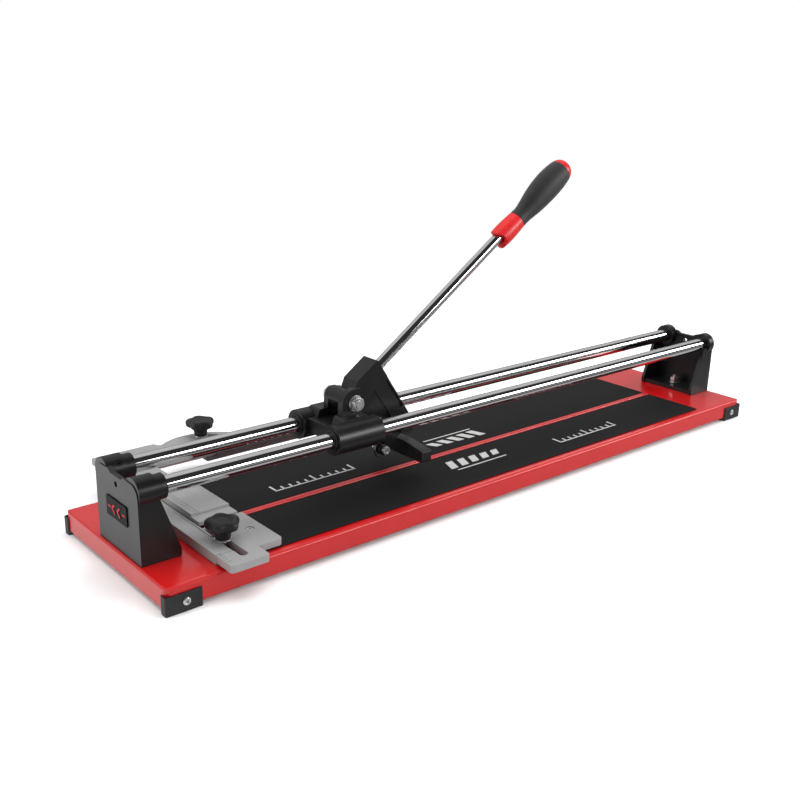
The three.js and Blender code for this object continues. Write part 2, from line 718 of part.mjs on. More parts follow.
function buildLeverHead() {
  const socketTop = SOCKET_ACROSS + SOCKET_WIDTH / 2;
  const socketBottom = SOCKET_ACROSS - SOCKET_WIDTH / 2;
  const legEnd = -LEG_REACH;
  const upper = slabY(
    [
      [20, socketBottom],
      [SOCKET_LENGTH, socketBottom],
      [SOCKET_LENGTH, socketTop, 1],
      [22, socketTop, 1],
      [8, socketTop - 9],
      [-4, -4],
      [4, -14],
    ],
    -HEAD_HALF,
    HEAD_HALF,
    3,
  );
  const leg = slabY(
    [
      [LEG_LEFT, socketBottom + 1],
      [LEG_LEFT, legEnd + 8],
      [LEG_LEFT + 8, legEnd],
      [SOCKET_LENGTH - 8, legEnd],
      [SOCKET_LENGTH - 1.5, legEnd + 14],
      [SOCKET_LENGTH, socketBottom + 1],
    ],
    -HEAD_HALF + 1,
    HEAD_HALF - 1,
  );
  const hub = rodY(HUB_RADIUS, -HEAD_HALF, HEAD_HALF, 0, 0, 32);
  // Web that fills the corner between the hub and the leg.
  const gusset = slabY(
    [
      [4, -12],
      [10, -40],
      [14, -WEB_REACH],
      [LEG_LEFT + 3, -WEB_REACH],
      [LEG_LEFT + 3, socketBottom + 2],
      [14, socketBottom + 6],
    ],
    -HEAD_HALF + 2,
    HEAD_HALF - 2,
  );
  // Shallow groove down each side of the leg, by its outer edge.
  const grooves = [-1, 1].map((side) => {
    const floor = side * (HEAD_HALF - 3);
    const open = side * (HEAD_HALF + 1);
    return box(
      SOCKET_LENGTH - 7,
      SOCKET_LENGTH - 3,
      Math.min(floor, open),
      Math.max(floor, open),
      socketBottom - 50,
      socketBottom - 4,
    );
  });
  const forkHalf = WHEEL_THICKNESS / 2 + 5;
  const fork = join(
    slabY(
      [
        [LEG_LEFT + 2, -62],
        [AXLE_ALONG + 6, AXLE_ACROSS + 8],
        [AXLE_ALONG + 6, AXLE_ACROSS - 3],
        [LEG_LEFT + 10, -101],
      ],
      -forkHalf,
      forkHalf,
    ),
    rodY(8, -forkHalf, forkHalf, AXLE_ALONG, AXLE_ACROSS, 20),
  );
  const slotHalf = WHEEL_THICKNESS / 2 + SIDE_GAP;
  const wheelSlot = rodY(WHEEL_RADIUS + 1.5, -slotHalf, slotHalf, AXLE_ALONG, AXLE_ACROSS, 32);
  const rodBore = rodX(
    LEVER_ROD_RADIUS + SEAT_GAP,
    SOCKET_LENGTH - 40,
    SOCKET_LENGTH + 1,
    0,
    ROD_ACROSS,
  );
  const pivotBore = rodY(PIVOT_BOLT_RADIUS + RUN_GAP / 2, -HEAD_HALF - 1, HEAD_HALF + 1, 0, 0);
  const axleBore = rodY(AXLE_RADIUS + SEAT_GAP, -30, 30, AXLE_ALONG, AXLE_ACROSS);
  const whole = join(upper, leg, hub, gusset, fork);
  place(
    "lever_head",
    cut(whole, wheelSlot, rodBore, pivotBore, axleBore, breakerPocket(), ...grooves),
    BLACK_CASTING,
    lever,
  );
}

// The breaker bar is level when the lever is at rest, so it is drawn in world axes about the
// pivot and turned back by the lever's pitch.
const PITCH = THREE.MathUtils.degToRad(LEVER_PITCH);

const BREAKER_X = 95.5;
const BREAKER_BOTTOM = 23 - PIVOT_HEIGHT;
const BREAKER_ROOT = 20;
const BREAKER_TIP = 15;

function turnedBack(body) {
  const geometry = geometryOf(body);
  geometry.rotateY(PITCH);
  geometry.deleteAttribute("normal");
  return solid(geometry);
}

const BREAKER_NECK = 15;

// Pocket across the end of the leg that the breaker bar seats in.
function breakerPocket() {
  const half = BREAKER_BAR / 2 + SEAT_GAP;
  const top = BREAKER_BOTTOM + BREAKER_ROOT + SEAT_GAP;
  return turnedBack(
    box(BREAKER_X - half, BREAKER_X + half, -40, 40, BREAKER_BOTTOM - 30, top),
  );
}

function buildBreaker() {
  const half = BREAKER_SPAN / 2;
  const bar = slabX(
    [
      [-half, BREAKER_BOTTOM, 2],
      [half, BREAKER_BOTTOM, 2],
      [half, BREAKER_BOTTOM + BREAKER_TIP, 2],
      [BREAKER_NECK, BREAKER_BOTTOM + BREAKER_ROOT],
      [-BREAKER_NECK, BREAKER_BOTTOM + BREAKER_ROOT],
      [-half, BREAKER_BOTTOM + BREAKER_TIP, 2],
    ],
    BREAKER_X - BREAKER_BAR / 2,
    BREAKER_X + BREAKER_BAR / 2,
    3,
  );
  place("breaker_bar", turnedBack(bar), BLACK_CASTING, lever);
}

function buildWheel() {
  const half = WHEEL_THICKNESS / 2;
  const profile = [
    new THREE.Vector2(AXLE_RADIUS + RUN_GAP / 2, -half),
    new THREE.Vector2(WHEEL_RADIUS - 2.2, -half),
    new THREE.Vector2(WHEEL_RADIUS, -0.2),
    new THREE.Vector2(WHEEL_RADIUS, 0.2),
    new THREE.Vector2(WHEEL_RADIUS - 2.2, half),
    new THREE.Vector2(AXLE_RADIUS + RUN_GAP / 2, half),
  ];
  profile.push(profile[0].clone());
  const wheel = solid(new THREE.LatheGeometry(profile, 48));
  const mesh = place("scoring_wheel", wheel, CARBIDE, lever);
  mesh.position.set(AXLE_ALONG, 0, AXLE_ACROSS);

  const forkHalf = WHEEL_THICKNESS / 2 + 5 + SEAT_GAP;
  const axle = cut(
    join(
      rodY(AXLE_RADIUS, -forkHalf - 3, forkHalf + 7, 0, 0),
      rodY(5.4, -forkHalf - 5, -forkHalf, 0, 0, 20),
    ),
    rodY(2.6, -forkHalf - 6, -forkHalf - 2, 0, 0, 6),
  );
  place("wheel_axle_screw", axle, BRIGHT_STEEL, lever).position.copy(mesh.position);
  const nut = cut(
    hexY(10, forkHalf, forkHalf + 5, 0, 0),
    rodY(AXLE_RADIUS + SEAT_GAP, forkHalf - 1, forkHalf + 6, 0, 0),
  );
  place("wheel_axle_nut", nut, BRIGHT_STEEL, lever).position.copy(mesh.position);
}

// Lever rod, red ferrule, rubber grip and end cap, all round about the rod's line.
function turnedX(profile, count) {
  const points = profile.map(([x, r]) => new THREE.Vector2(r, x));
  const geometry = new THREE.LatheGeometry(points, count);
  return solid(geometry.rotateZ(-Math.PI / 2).translate(0, 0, ROD_ACROSS));
}

const GRIP_START = LEVER_ROD_END;
const FERRULE_LENGTH = 38;
const GRIP_CAP_LENGTH = 14;

function buildHandle() {
  const rodStart = SOCKET_LENGTH - 40 + SEAT_GAP;
  const rodTip = GRIP_START + GRIP_LENGTH - GRIP_CAP_LENGTH - 12;
  place(
    "lever_rod",
    rodX(LEVER_ROD_RADIUS, rodStart, rodTip, 0, ROD_ACROSS, 32),
    CHROME,
    lever,
  );
  const bore = LEVER_ROD_RADIUS + SEAT_GAP;
  const ferruleEnd = GRIP_START + FERRULE_LENGTH;
  const ferrule = turnedX(
    [
      [GRIP_START, bore],
      [GRIP_START, 13.4],
      [GRIP_START + 8, 14.6],
      [GRIP_START + 24, 14.2],
      [ferruleEnd, 12.6],
      [ferruleEnd, bore],
      [GRIP_START, bore],
    ],
    32,
  );
  place("grip_ferrule", ferrule, RED_PLASTIC, lever);
  const gripFrom = ferruleEnd + SEAT_GAP;
  const gripTo = GRIP_START + GRIP_LENGTH - GRIP_CAP_LENGTH;
  const grip = turnedX(
    [
      [rodTip + SEAT_GAP, 0],
      [rodTip + SEAT_GAP, bore],
      [gripFrom, bore],
      [gripFrom, 12.2],
      [gripFrom + 12, 12],
      [gripFrom + 32, 14.6],
      [gripTo - 48, 17.2],
      [gripTo - 26, 17.8],
      [gripTo - 8, 16.8],
      [gripTo, 15],
      [gripTo, 0],
    ],
    32,
  );
  place("rubber_grip", grip, BLACK_RUBBER, lever);
  const capFrom = gripTo + SEAT_GAP;
  const cap = turnedX(
    [
      [capFrom, 0],
      [capFrom, 14.8],
      [capFrom + 5, 13.2],
      [capFrom + 9.5, 9.4],
      [capFrom + 12.5, 4.6],
      [capFrom + 13.4, 0],
    ],
    32,
  );
  place("grip_cap", cap, RED_PLASTIC, lever);
}

// ---------------------------------------------------------------- clamp knobs
// A lobed head on a round neck, with its threaded stud. The neck's foot is at z = 0.
function knobSolids(studLength) {
  const lobe = KNOB_RADIUS * 0.36;
  const shape = new THREE.Shape();
  const steps = KNOB_LOBES * 6;
  for (let i = 0; i < steps; i += 1) {
    const turn = (2 * Math.PI * i) / steps;
    const r = KNOB_RADIUS - (lobe / 2) * (1 - Math.cos(KNOB_LOBES * turn)) * 0.75;
    shape[i ? "lineTo" : "moveTo"](r * Math.cos(turn), r * Math.sin(turn));
  }
  shape.closePath();
  const head = new THREE.ExtrudeGeometry(shape, {
    depth: KNOB_HEIGHT - 5,
    bevelThickness: 2.5,
    bevelSize: 2.5,
    bevelOffset: -2.5,
    bevelSegments: 1,
  });
  const knob = cut(
    join(solid(head.translate(0, 0, KNOB_NECK + 2.5)), rodZ(8.5, 0, KNOB_NECK + 3, 0, 0)),
    rodZ(STUD_RADIUS + SEAT_GAP, -1, KNOB_NECK + 5, 0, 0),
  );
  const stud = rodZ(STUD_RADIUS, -studLength, KNOB_NECK + 4, 0, 0);
  return { knob, stud };
}

function buildKnob(name, x, y, z, studLength) {
  const { knob, stud } = knobSolids(studLength);
  place(name + "_knob", knob, BLACK_PLASTIC).position.set(x, y, z);
  place(name + "_stud", stud, BRIGHT_STEEL).position.set(x, y, z);
}

function washerAt(name, x, y, z, thickness) {
  const washer = cut(
    rodZ(9.5, z, z + thickness, x, y, 28),
    rodZ(STUD_RADIUS + SEAT_GAP, z - 1, z + thickness + 1, x, y),
  );
  place(name, washer, BRIGHT_STEEL);
}

// ---------------------------------------------------------------- front stop
function buildFrontStop() {
  const railLeft = RAIL_X - RAIL_WIDTH / 2;
  const railRight = RAIL_X + RAIL_WIDTH / 2;
  const railTop = BED_TOP + RAIL_HEIGHT;
  const rail = join(
    box(railLeft, railRight, RAIL_FRONT, RAIL_REAR, STACK_Z, railTop),
    box(railRight - 2.5, railRight, FRONT_KNOB_Y + 12, RAIL_REAR, railTop - 1, railTop + 1.2),
  );
  const slideLeft = railRight + SIDE_GAP;
  const blockRight = railRight + SIDE_GAP + BLOCK_WIDTH;
  const blockTop = BED_TOP + BLOCK_HEIGHT;
  const blockStep = 3;
  const blockFoot = BLOCK_FRONT + STOP_SLOT_LENGTH - 37;
  const block = join(
    box(slideLeft, blockRight, BLOCK_FRONT + 18, RAIL_REAR, railTop + SEAT_GAP, blockTop),
    box(slideLeft, blockRight, BLOCK_FRONT, BLOCK_FRONT + 19, railTop + SEAT_GAP,
      blockTop - blockStep),
    box(slideLeft, blockRight, blockFoot, RAIL_REAR, BED_TOP + MAT_THICKNESS + SEAT_GAP,
      railTop + 1),
  );
  const lineCuts = [
    box(slideLeft + 9, slideLeft + 10, BLOCK_FRONT - 1, RAIL_REAR + 1, blockTop - 0.6,
      blockTop + 1),
  ];
  for (let y = BLOCK_FRONT + 22; y < RAIL_REAR - 3; y += 5) {
    const long = Math.round((y - BLOCK_FRONT - 22) / 5) % 2 === 0;
    lineCuts.push(
      box(blockRight - (long ? 9 : 5), blockRight + 1, y, y + 0.7, blockTop - 0.5, blockTop + 1),
    );
  }
  place("stop_rail", rail, CAST_ALUMINIUM);
  place("scale_block", cut(block, ...lineCuts), CAST_ALUMINIUM);

  const slideRight = railLeft + STOP_WIDTH;
  const slideTop = STOP_Z + STOP_THICKNESS;
  const slideRear = STOP_FRONT + STOP_LENGTH;
  const slotFront = STOP_FRONT + 14;
  const slide = cut(
    join(
      slabZ(
        [
          [slideLeft, STOP_FRONT, 0],
          [slideRight, STOP_FRONT, 4],
          [slideRight, slideRear],
          [slideLeft, slideRear],
        ],
        STOP_Z,
        slideTop - SEAT_GAP,
        3,
      ),
      slabZ(
        [
          [railLeft, STOP_FRONT, 4],
          [slideLeft + 1, STOP_FRONT],
          [slideLeft + 1, RAIL_FRONT - SIDE_GAP],
          [railLeft, RAIL_FRONT - SIDE_GAP],
        ],
        STOP_Z,
        slideTop - SEAT_GAP,
        3,
      ),
    ),
    slabZ(
      rectangle(
        FRONT_KNOB_X - STOP_SLOT_WIDTH / 2,
        FRONT_KNOB_X + STOP_SLOT_WIDTH / 2,
        slotFront,
        slotFront + STOP_SLOT_LENGTH,
        STOP_SLOT_WIDTH / 2 - 0.01,
      ),
      STOP_Z - 1,
      slideTop + 1,
      8,
    ),
  );
  place("stop_slide", slide, CAST_ALUMINIUM);

  const jawLeft = slideRight + SEAT_GAP;
  const jawRight = jawLeft + JAW_WIDTH;
  const jawFront = STOP_FRONT + 26;
  const jawTop = slideTop - 1.5;
  const screwX = jawLeft + JAW_WIDTH * 0.52;
  const screwY = jawFront + JAW_LENGTH / 2;
  const jaw = cut(
    slabZ(
      [
        [jawLeft, jawFront],
        [jawRight, jawFront, 5],
        [jawRight, jawFront + JAW_LENGTH],
        [jawLeft, jawFront + JAW_LENGTH],
      ],
      BED_TOP + MAT_THICKNESS + SIDE_GAP,
      jawTop,
      3,
    ),
    rodZ(2.5 + SEAT_GAP, BED_TOP, jawTop + 1, screwX, screwY),
    rodZ(5.2, jawTop - 3, jawTop + 1, screwX, screwY),
  );
  place("stop_jaw", jaw, CAST_ALUMINIUM);
  const screwBottom = BED_TOP + MAT_THICKNESS + SIDE_GAP + 1;
  place(
    "jaw_screw",
    cut(
      join(
        rodZ(2.5, screwBottom, jawTop - 2, screwX, screwY),
        rodZ(4.6, jawTop - 3 + SEAT_GAP, jawTop - 0.8, screwX, screwY, 20),
      ),
      rodZ(1.6, jawTop - 2, jawTop + 1, screwX, screwY, 6),
    ),
    BRIGHT_STEEL,
  );
  const knobZ = slideTop + 1.8 + SEAT_GAP;
  washerAt("front_knob_washer", FRONT_KNOB_X, FRONT_KNOB_Y, slideTop, 1.8);
  buildKnob("front", FRONT_KNOB_X, FRONT_KNOB_Y, knobZ, knobZ - STACK_Z - 0.4);
}

// ---------------------------------------------------------------- rear mitre fence
function buildMitreFence() {
  const plateRight = PLATE_LEFT + PLATE_TONGUE;
  const top = PLATE_Z + PLATE_THICKNESS;
  const disc = rodZ(MITRE_RADIUS, PLATE_Z, top, MITRE_X, MITRE_Y, 64);
  const discHalf = box(
    MITRE_X - MITRE_RADIUS - 1,
    MITRE_X + MITRE_RADIUS + 1,
    PLATE_FRONT,
    MITRE_Y + MITRE_RADIUS + 1,
    PLATE_Z - 1,
    top + 1,
  );
  const lap = 24;
  const armLeft = RAIL_X + RAIL_WIDTH / 2 + SIDE_GAP;
  const plate = join(
    slabZ(
      [
        [PLATE_LEFT, PLATE_FRONT, 2],
        [plateRight + 40, PLATE_FRONT],
        [plateRight + 40, PLATE_FRONT + PLATE_DEPTH - 20],
        [plateRight - 1, PLATE_FRONT + PLATE_DEPTH - 9],
        [plateRight - 5, PLATE_FRONT + PLATE_DEPTH],
        [PLATE_LEFT, PLATE_FRONT + PLATE_DEPTH, 2],
      ],
      PLATE_Z,
      top,
      3,
    ),
    disc.intersect(discHalf),
    // Neck and foot that carry the plate from the rear edge of the bed.
    box(armLeft, armLeft + 40, BED_WIDTH / 2 - lap, PLATE_FRONT + 2, PLATE_Z, top),
    box(armLeft, armLeft + 40, BED_WIDTH / 2 - lap, BED_WIDTH / 2 - BED_BEND_RADIUS,
      BED_TOP + MAT_THICKNESS + SEAT_GAP, PLATE_Z + 1),
  );
  const tools = [rodZ(3 + SEAT_GAP, BED_TOP, top + 1, MITRE_X, MITRE_Y + 6)];
  tools.push(arcSlot(top));
  place("mitre_plate", cut(plate, ...tools), CAST_ALUMINIUM);

  for (const [i, x] of [armLeft + 11, armLeft + 29].entries()) {
    const y = BED_WIDTH / 2 - lap / 2 - 1;
    place(
      `plate_screw_${i + 1}`,
      cut(
        rodZ(4.8, top + SEAT_GAP, top + 4, x, y, 20),
        rodZ(2.4, top + 1.5, top + 5, x, y, 6),
      ),
      BRIGHT_STEEL,
    );
  }

  // Swinging arm under the plate: a strip with a fence standing on its front edge beyond the
  // pivot, and a lug that carries the clamp stud.
  const armTop = PLATE_Z - SIDE_GAP;
  const armBottom = armTop - ARM_THICKNESS;
  const knobAngle = THREE.MathUtils.degToRad(MITRE_KNOB_ANGLE);
  const pivotY = MITRE_Y + 6;
  const knobX = MITRE_X + MITRE_SLOT_RADIUS * Math.cos(knobAngle);
  const knobY = pivotY + MITRE_SLOT_RADIUS * Math.sin(knobAngle);
  const armLeftEnd = MITRE_X - 9;
  const armFront = pivotY - 9;
  const arm = cut(
    join(
      slabZ(
        rectangle(armLeftEnd, armLeftEnd + ARM_LENGTH, armFront, armFront + ARM_WIDTH, 2),
        armBottom,
        armTop,
        3,
      ),
      box(
        MITRE_X + 6,
        armLeftEnd + ARM_LENGTH,
        armFront,
        armFront + 3,
        armBottom,
        armBottom + ARM_HEIGHT,
      ),
      slabZ(
        [
          [MITRE_X - 8, pivotY + 2],
          [MITRE_X + 18, pivotY + 2],
          [knobX + 9, knobY, 3],
          [knobX + 4, knobY + 9, 3],
          [knobX - 8, knobY + 9, 3],
        ],
        armBottom,
        armTop,
        3,
      ),
    ),
    rodZ(3 + RUN_GAP / 2, armBottom - 1, armTop + 1, MITRE_X, pivotY),
    rodZ(STUD_RADIUS + SEAT_GAP, armBottom - 1, armTop + 1, knobX, knobY),
  );
  place("mitre_arm", arm, GREY_PAINT);
  place(
    "mitre_pivot_pin",
    join(
      rodZ(3, armBottom - 1, top + 1, MITRE_X, pivotY),
      rodZ(6, top + SEAT_GAP, top + 3, MITRE_X, pivotY, 20),
    ),
    BRIGHT_STEEL,
  );
  washerAt("rear_knob_washer", knobX, knobY, top + SEAT_GAP, 1.8);
  const knobZ = top + 2 * SEAT_GAP + 1.8;
  buildKnob("rear", knobX, knobY, knobZ, knobZ - armBottom);
}

// Slot that lets the clamp stud travel as the arm swings.
function arcSlot(top) {
  const shape = new THREE.Shape();
  const pivotY = MITRE_Y + 6;
  const from = THREE.MathUtils.degToRad(MITRE_KNOB_ANGLE - MITRE_SWING - 2);
  const to = THREE.MathUtils.degToRad(MITRE_KNOB_ANGLE + 2);
  const [inner, outer] = [
    MITRE_SLOT_RADIUS - MITRE_SLOT_WIDTH / 2,
    MITRE_SLOT_RADIUS + MITRE_SLOT_WIDTH / 2,
  ];
  shape.absarc(MITRE_X, pivotY, inner, from, to, false);
  shape.absarc(
    MITRE_X + MITRE_SLOT_RADIUS * Math.cos(to),
    pivotY + MITRE_SLOT_RADIUS * Math.sin(to),
    MITRE_SLOT_WIDTH / 2,
    to + Math.PI,
    to,
    true,
  );
  shape.absarc(MITRE_X, pivotY, outer, to, from, true);
  shape.absarc(
    MITRE_X + MITRE_SLOT_RADIUS * Math.cos(from),
    pivotY + MITRE_SLOT_RADIUS * Math.sin(from),
    MITRE_SLOT_WIDTH / 2,
    from,
    from - Math.PI,
    true,
  );
  return solid(slabFrom(shape, PLATE_THICKNESS + 4, 12).translate(0, 0, top - PLATE_THICKNESS - 2));
}

// ---------------------------------------------------------------- assembly
buildBed();
buildFoot("front_left", -1, -1);
buildFoot("front_right", 1, -1);
buildFoot("rear_left", -1, 1);
buildFoot("rear_right", 1, 1);
buildBrackets();
buildRods();
buildBadge();
buildCarriage();
buildLeverHead();
buildBreaker();
buildWheel();
buildHandle();
buildFrontStop();
buildMitreFence();

// Put the middle of the bounding box's underside at the origin.
cutter.updateMatrixWorld(true);
const bounds = new THREE.Box3().setFromObject(cutter, true);
const centre = bounds.getCenter(new THREE.Vector3());
const tileCutter = new THREE.Group();
cutter.position.set(-centre.x, -centre.y, -bounds.min.z);
tileCutter.add(cutter);

export default tileCutter;
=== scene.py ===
import math
import bmesh
import bpy
from mathutils import Matrix, Vector


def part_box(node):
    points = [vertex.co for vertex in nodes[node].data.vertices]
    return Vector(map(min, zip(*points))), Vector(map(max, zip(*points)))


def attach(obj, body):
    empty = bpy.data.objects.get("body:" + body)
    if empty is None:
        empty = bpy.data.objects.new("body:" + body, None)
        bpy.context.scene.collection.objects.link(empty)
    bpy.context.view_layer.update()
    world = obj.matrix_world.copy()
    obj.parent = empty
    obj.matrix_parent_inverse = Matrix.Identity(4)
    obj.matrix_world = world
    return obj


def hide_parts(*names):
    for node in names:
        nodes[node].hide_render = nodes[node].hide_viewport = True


# A manual tile cutter, finished piece by piece: red enamelled bed, black stove-enamelled castings,
# chromed guide rods, blasted aluminium stops, moulded knobs and a rubber grip. Metres, Z up.
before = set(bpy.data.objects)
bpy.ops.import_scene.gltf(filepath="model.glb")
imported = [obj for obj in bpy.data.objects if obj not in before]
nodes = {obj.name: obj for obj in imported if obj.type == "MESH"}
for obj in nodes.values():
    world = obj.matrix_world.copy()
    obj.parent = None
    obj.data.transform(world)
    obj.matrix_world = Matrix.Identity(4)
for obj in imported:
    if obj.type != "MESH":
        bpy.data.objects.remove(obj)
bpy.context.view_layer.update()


# ---------------------------------------------------------------- shader sums
class Reading:
    """A shader socket that takes part in ordinary sums."""

    def __init__(self, finish, socket):
        self.finish = finish
        self.socket = socket

    def worked(self, operation, first, second, clamp=False):
        settings = {"operation": operation, "use_clamp": clamp}
        return self.finish.node("ShaderNodeMath", settings, {0: first, 1: second})

    def __add__(self, other):
        return self.worked("ADD", self, other)

    def __sub__(self, other):
        return self.worked("SUBTRACT", self, other)

    def __rsub__(self, other):
        return self.worked("SUBTRACT", other, self)

    def __mul__(self, other):
        return self.worked("MULTIPLY", self, other)

    __radd__ = __add__
    __rmul__ = __mul__

    def over(self, low, high):
        """0 below low, 1 above high and a straight run between them."""
        slope = 1 / (high - low)
        return self.worked("MULTIPLY", self - low, slope, clamp=True)


class Finish:
    """One finish: a material whose nodes are made by node() and end in its surface shader."""

    def __init__(self, name, steady=None):
        self.material = bpy.data.materials.new(name)
        self.material.use_nodes = True
        self.tree = self.material.node_tree
        self.surface = self.tree.nodes["Principled BSDF"]
        for socket, value in (steady or {}).items():
            self.surface.inputs[socket].default_value = value

    def node(self, kind, settings=None, inputs=None, output=0):
        made = self.tree.nodes.new(kind)
        for name, value in (settings or {}).items():
            setattr(made, name, value)
        for socket, value in (inputs or {}).items():
            self.feed(made.inputs[socket], value)
        return Reading(self, made.outputs[output])

    def feed(self, socket, value):
        if isinstance(value, Reading):
            self.tree.links.new(value.socket, socket)
        else:
            socket.default_value = value

    def set(self, socket, value):
        self.feed(self.surface.inputs[socket], value)

    def place(self, stretch=(1, 1, 1)):
        """The piece's own metres, drawn out along an axis where stretch is below 1."""
        here = self.node("ShaderNodeTexCoord", output="Object")
        return self.node("ShaderNodeVectorMath", {"operation": "MULTIPLY"}, {0: here, 1: stretch})

    def along(self, axis):
        here = self.node("ShaderNodeTexCoord", output="Object")
        return self.node("ShaderNodeSeparateXYZ", {}, {0: here}, output=axis)

    def grain(self, size, detail=2.0, stretch=(1, 1, 1)):
        """Cloudy noise from 0 to 1 with spots about size metres across."""
        sockets = {"Vector": self.place(stretch), "Scale": 1 / size, "Detail": detail}
        return self.node("ShaderNodeTexNoise", {}, sockets)

    def pits(self, size):
        """Distance to the nearest of many scattered points size metres apart."""
        sockets = {"Vector": self.place(), "Scale": 1 / size}
        return self.node("ShaderNodeTexVoronoi", {}, sockets)

    def blend(self, share, first, second):
        sockets = {0: share, 6: (*first, 1), 7: (*second, 1)}
        return self.node("ShaderNodeMix", {"data_type": "RGBA"}, sockets, output=2)

    def layered(self, share, below, colour):
        """A colour laid over another reading where share is 1."""
        sockets = {0: share, 6: below, 7: (*colour, 1)}
        return self.node("ShaderNodeMix", {"data_type": "RGBA"}, sockets, output=2)

    def raised(self, height, depth):
        """Surface relief: height 0 to 1 stands depth metres proud."""
        sockets = {"Height": height, "Strength": 1.0, "Distance": depth}
        self.set("Normal", self.node("ShaderNodeBump", {}, sockets))


# ---------------------------------------------------------------- finishes
def red_enamel():
    """Glossy baked enamel on folded sheet, with a faint orange peel."""
    steady = {"Specular IOR Level": 0.5, "Coat Roughness": 0.06, "Coat IOR": 1.5}
    paint = Finish("red enamel", steady)
    cloud = paint.grain(0.09, 3)
    paint.set("Base Color", paint.blend(cloud, (0.40, 0.0022, 0.0030), (0.47, 0.0036, 0.0044)))
    paint.set("Roughness", 0.26 + paint.grain(0.02, 4) * 0.10)
    paint.set("Coat Weight", 0.30 + cloud * 0.15)
    paint.raised(paint.grain(0.0032, 2), 0.00005)
    return paint.material


def stove_black():
    """Satin black stove enamel over a fine casting, thinner and paler on its roughest spots."""
    paint = Finish("stove black enamel", {"Specular IOR Level": 0.42})
    cloud = paint.grain(0.03, 4)
    skin = paint.grain(0.0011, 3)
    tone = paint.blend(cloud, (0.0040, 0.0040, 0.0042), (0.0085, 0.0085, 0.0088))
    rubbed = skin.over(0.66, 0.80) * 0.5
    paint.set("Base Color", paint.layered(rubbed, tone, (0.020, 0.020, 0.0205)))
    paint.set("Roughness", 0.25 + cloud * 0.08 + skin * 0.08)
    paint.raised(skin * 0.7 + paint.grain(0.006, 2) * 0.6, 0.00007)
    return paint.material


def grey_enamel():
    """Dark grey paint on the mitre arm."""
    paint = Finish("grey enamel")
    cloud = paint.grain(0.02, 4)
    paint.set("Base Color", paint.blend(cloud, (0.045, 0.046, 0.048), (0.075, 0.076, 0.078)))
    paint.set("Roughness", 0.40 + paint.grain(0.004, 3) * 0.15)
    paint.raised(paint.grain(0.0014, 3), 0.00006)
    return paint.material


def mat_rubber():
    """Thin foamed rubber sheet with a fine, even skin."""
    rubber = Finish("foamed rubber sheet", {"Specular IOR Level": 0.22})
    cloud = rubber.grain(0.05, 4)
    cells = rubber.pits(0.0009)
    rubber.set("Base Color", rubber.blend(cloud, (0.0052, 0.0052, 0.0054), (0.0088, 0.0088, 0.0091)))
    rubber.set("Roughness", 0.62 + cloud * 0.14)
    rubber.raised(cells * 0.8 + rubber.grain(0.0035, 2) * 0.5, 0.00010)
    return rubber.material


def hard_chrome():
    """Ground and polished chrome, with the faintest lines round the rod."""
    metal = Finish("hard chrome", {"Metallic": 1.0})
    lines = metal.grain(0.0012, 2, stretch=(1, 0.12, 0.12))
    cloud = metal.grain(0.05, 2)
    metal.set("Base Color", metal.blend(cloud, (0.70, 0.705, 0.715), (0.80, 0.80, 0.805)))
    metal.set("Roughness", 0.055 + lines * 0.05)
    metal.raised(lines, 0.000004)
    return metal.material


def zinc_plate():
    """Bright zinc on turned fasteners."""
    metal = Finish("bright zinc plate", {"Metallic": 1.0})
    cloud = metal.grain(0.004, 3)
    marks = metal.grain(0.0007, 3, stretch=(1, 0.3, 1))
    metal.set("Base Color", metal.blend(cloud, (0.62, 0.63, 0.65), (0.84, 0.84, 0.85)))
    metal.set("Roughness", 0.30 + marks * 0.16)
    metal.raised(marks, 0.00003)
    return metal.material


def threaded_steel():
    """Zinc-plated stud with its thread cut round it every 1.25 mm, the thread roots painted dark as
    shade.
    """
    metal = Finish("threaded steel", {"Metallic": 1.0})
    half_pitch = 0.000625
    turns = metal.node("ShaderNodeMath", {"operation": "PINGPONG"}, {0: metal.along("Z"), 1: half_pitch})
    ridge = turns * (1 / half_pitch)
    # Painted shade: the thread roots are coloured dark and the crests pale.
    metal.set("Base Color", metal.blend(ridge, (0.20, 0.20, 0.21), (0.62, 0.62, 0.63)))
    metal.set("Roughness", 0.36 - ridge * 0.12)
    metal.raised(ridge, 0.0004)
    return metal.material


def blasted_aluminium():
    """Sand-cast aluminium, bead blasted: pale, dry and finely pitted."""
    metal = Finish("blasted aluminium", {"Specular IOR Level": 0.5})
    cloud = metal.grain(0.018, 5)
    skin = metal.grain(0.0012, 4)
    pale = metal.blend(cloud, (0.30, 0.30, 0.305), (0.40, 0.40, 0.402))
    metal.set("Base Color", metal.layered(skin.over(0.58, 0.75) * 0.35, pale, (0.20, 0.20, 0.205)))
    metal.set("Metallic", 0.35 + cloud * 0.25)
    metal.set("Roughness", 0.50 + skin * 0.22)
    metal.raised(skin * 0.8 + metal.pits(0.0016) * 0.4, 0.00012)
    return metal.material


def moulded_black():
    """Glass-filled black plastic with a spark-eroded mould skin."""
    plastic = Finish("moulded black plastic")
    cloud = plastic.grain(0.012, 3)
    skin = plastic.pits(0.0007)
    plastic.set("Base Color", plastic.blend(cloud, (0.0060, 0.0060, 0.0063), (0.0115, 0.0115, 0.0118)))
    plastic.set("Roughness", 0.42 + skin * 0.16)
    plastic.raised(skin, 0.00006)
    return plastic.material


def grip_rubber():
    """Soft-touch rubber, matt and slightly dusty in its finest hollows."""
    rubber = Finish("soft grip rubber", {"Specular IOR Level": 0.45, "Sheen Weight": 0.12})
    cloud = rubber.grain(0.02, 4)
    skin = rubber.pits(0.0011)
    rubber.set("Base Color", rubber.blend(cloud, (0.0085, 0.0085, 0.0088), (0.0145, 0.0145, 0.0148)))
    rubber.set("Roughness", 0.46 + skin * 0.16 + cloud * 0.06)
    rubber.raised(skin * 0.7 + rubber.grain(0.004, 2) * 0.4, 0.00009)
    return rubber.material


